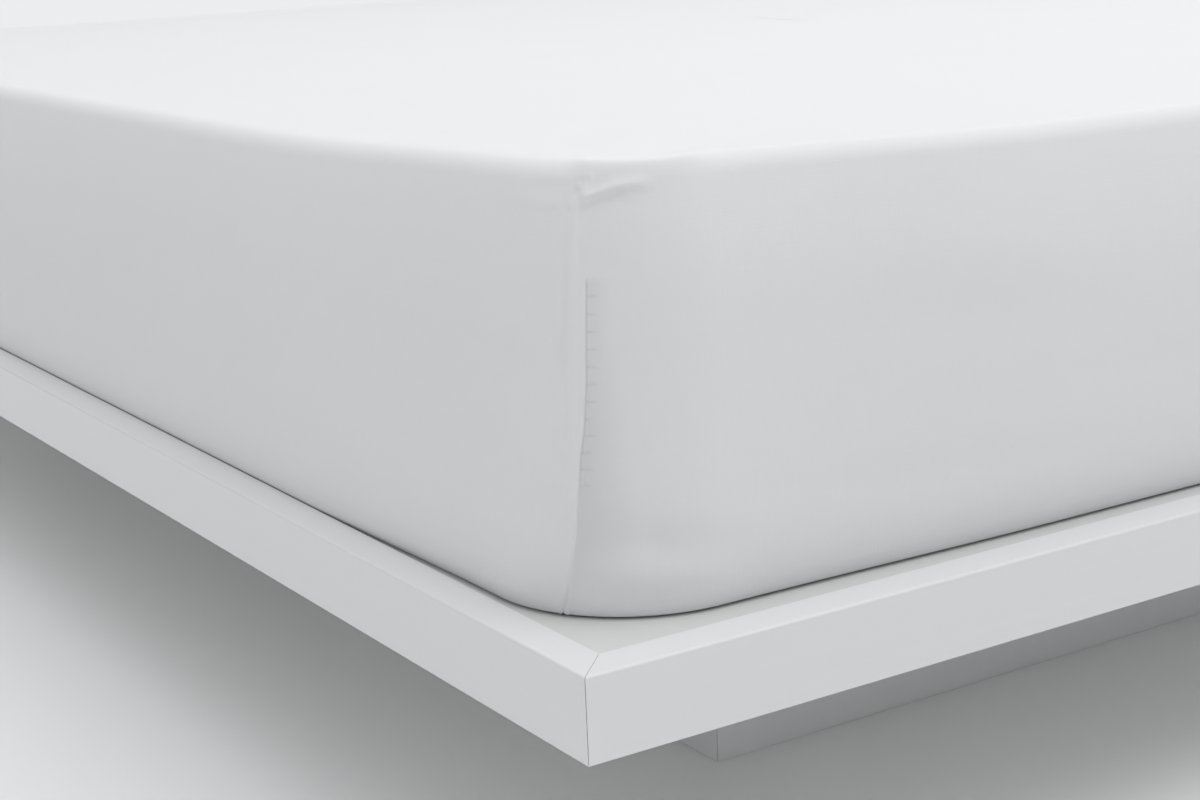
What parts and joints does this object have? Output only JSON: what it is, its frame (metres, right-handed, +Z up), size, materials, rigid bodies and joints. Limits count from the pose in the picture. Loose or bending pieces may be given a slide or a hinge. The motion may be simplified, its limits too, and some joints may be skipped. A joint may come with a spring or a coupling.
{
  "type": "fitted sheet on a mattress and platform bed",
  "caption": "White fitted sheet stretched over a thick mattress with rounded corners, in a low lacquered platform bed with mitred rails and a recessed plinth.",
  "frame": {"origin": "on the floor under the middle of the bed frame", "axes": "+Z up, +Y from the foot end to the head end, +X to the right seen from the foot end"},
  "size_m": [1.672, 2.1, 0.4778],
  "materials": {
    "sheet": "plain woven white cotton, matt, stretched smooth",
    "mattress": "quilted off-white ticking",
    "frame": "white satin lacquer on board, with a faint brushed grain"
  },
  "bodies": {
    "root": {"fitted_sheet": "sheet", "mattress": "mattress", "deck": "frame", "rail_foot": "frame", "rail_right": "frame", "rail_head": "frame", "rail_left": "frame", "plinth_foot": "frame", "plinth_right": "frame", "plinth_head": "frame", "plinth_left": "frame"}
  },
  "joints": []
}
